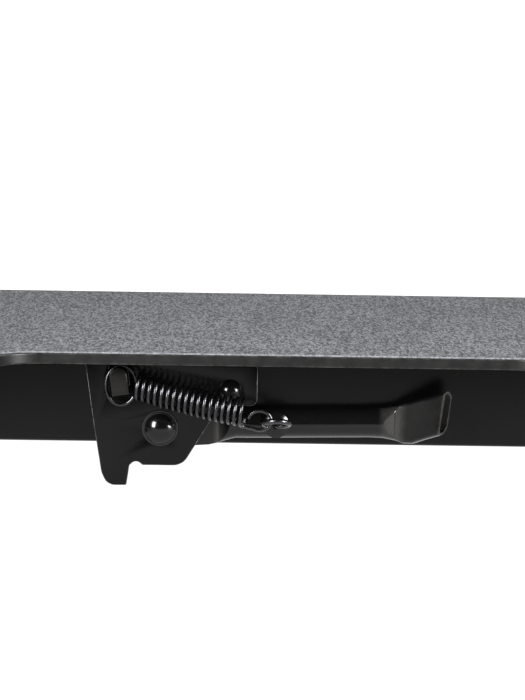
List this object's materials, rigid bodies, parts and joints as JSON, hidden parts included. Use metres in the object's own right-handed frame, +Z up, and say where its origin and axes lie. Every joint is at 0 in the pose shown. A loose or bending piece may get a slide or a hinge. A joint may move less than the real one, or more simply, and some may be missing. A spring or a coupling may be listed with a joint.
{
  "type": "slant board",
  "caption": "Low steel slant board with a gritted deck that tilts from a hinged end, a folding prop under it, and a sprung latch lever on one side.",
  "frame": {"origin": "middle of the footprint, on the floor", "axes": "+X along the deck towards the hinged end, +Y across it away from the latch lever, +Z up"},
  "size_m": [0.47, 0.376, 0.0992],
  "materials": {
    "powder_coat": "satin black powder coat",
    "panel_paint": "satin black paint, edges worn brighter",
    "grit": "grey mineral grit on an adhesive sheet",
    "gloss_enamel": "gloss black enamel",
    "black_zinc": "black zinc plate",
    "bright_zinc": "bright zinc plate",
    "nylon": "moulded black nylon",
    "rubber": "matt black rubber"
  },
  "bodies": {
    "base": {"foot_front_left": "rubber", "foot_front_right": "rubber", "foot_rear_left": "rubber", "foot_rear_right": "rubber", "hinge_lug_front": "powder_coat", "hinge_lug_rear": "powder_coat", "hinge_nut_front": "black_zinc", "hinge_nut_rear": "black_zinc", "hinge_rod": "bright_zinc", "hinge_spacer_front": "nylon", "hinge_spacer_rear": "nylon", "prop_lug_front": "powder_coat", "prop_lug_rear": "powder_coat", "prop_rod": "bright_zinc", "rail_front": "powder_coat", "rail_plug_front_left": "nylon", "rail_plug_front_right": "nylon", "rail_plug_rear_left": "nylon", "rail_plug_rear_right": "nylon", "rail_rear": "powder_coat", "rest_pad_front": "rubber", "rest_pad_rear": "rubber", "stabilizer_left": "powder_coat", "stabilizer_right": "powder_coat"},
    "deck": {"cross_tube_left": "powder_coat", "cross_tube_right": "powder_coat", "deck_panel": "panel_paint", "grit_sheet": "grit", "hook_bolt_front": "black_zinc", "hook_bolt_rear_left": "black_zinc", "hook_bolt_rear_right": "black_zinc", "hook_bush_front": "bright_zinc", "hook_bush_rear_left": "bright_zinc", "hook_bush_rear_right": "bright_zinc", "hook_plate_front": "powder_coat", "hook_plate_rear": "powder_coat", "hook_spacer": "powder_coat", "lever_bush": "nylon", "rack_front": "powder_coat", "rack_rear": "powder_coat", "return_spring": "black_zinc", "side_tube_front": "powder_coat", "side_tube_rear": "powder_coat", "tube_cap_front_left": "nylon", "tube_cap_front_right": "nylon", "tube_cap_rear_left": "nylon", "tube_cap_rear_right": "nylon"},
    "prop": {"prop_leg_front": "powder_coat", "prop_leg_rear": "powder_coat", "prop_crossbar": "bright_zinc", "prop_tube": "powder_coat"},
    "lever": {"lever": "gloss_enamel", "lever_shaft": "gloss_enamel", "shaft_washer": "black_zinc", "shaft_clip": "bright_zinc", "lock_pawl": "bright_zinc", "spring_eye": "black_zinc", "eye_collar": "black_zinc"}
  },
  "joints": [
    {"name": "deck_tilt", "type": "hinge", "parent": "base", "child": "deck", "pos_m": [0.205, 0, 0.072], "axis": [0, 1, 0], "range_deg": [0, 30]},
    {"name": "prop_swing", "type": "hinge", "parent": "base", "child": "prop", "pos_m": [0.0625, 0, 0.072], "axis": [0, 1, 0], "range_deg": [0, 60]},
    {"name": "lever_press", "type": "hinge", "parent": "deck", "child": "lever", "pos_m": [-0.066, 0, 0.052], "axis": [0, 1, 0], "range_deg": [0, 15], "stiffness_Nm_per_rad": 1.1, "springref_deg": -32.66, "deforming": ["return_spring"]}
  ],
  "couplings": [
    {"joint": "prop_swing", "follows": "deck_tilt", "ratio": 2}
  ]
}
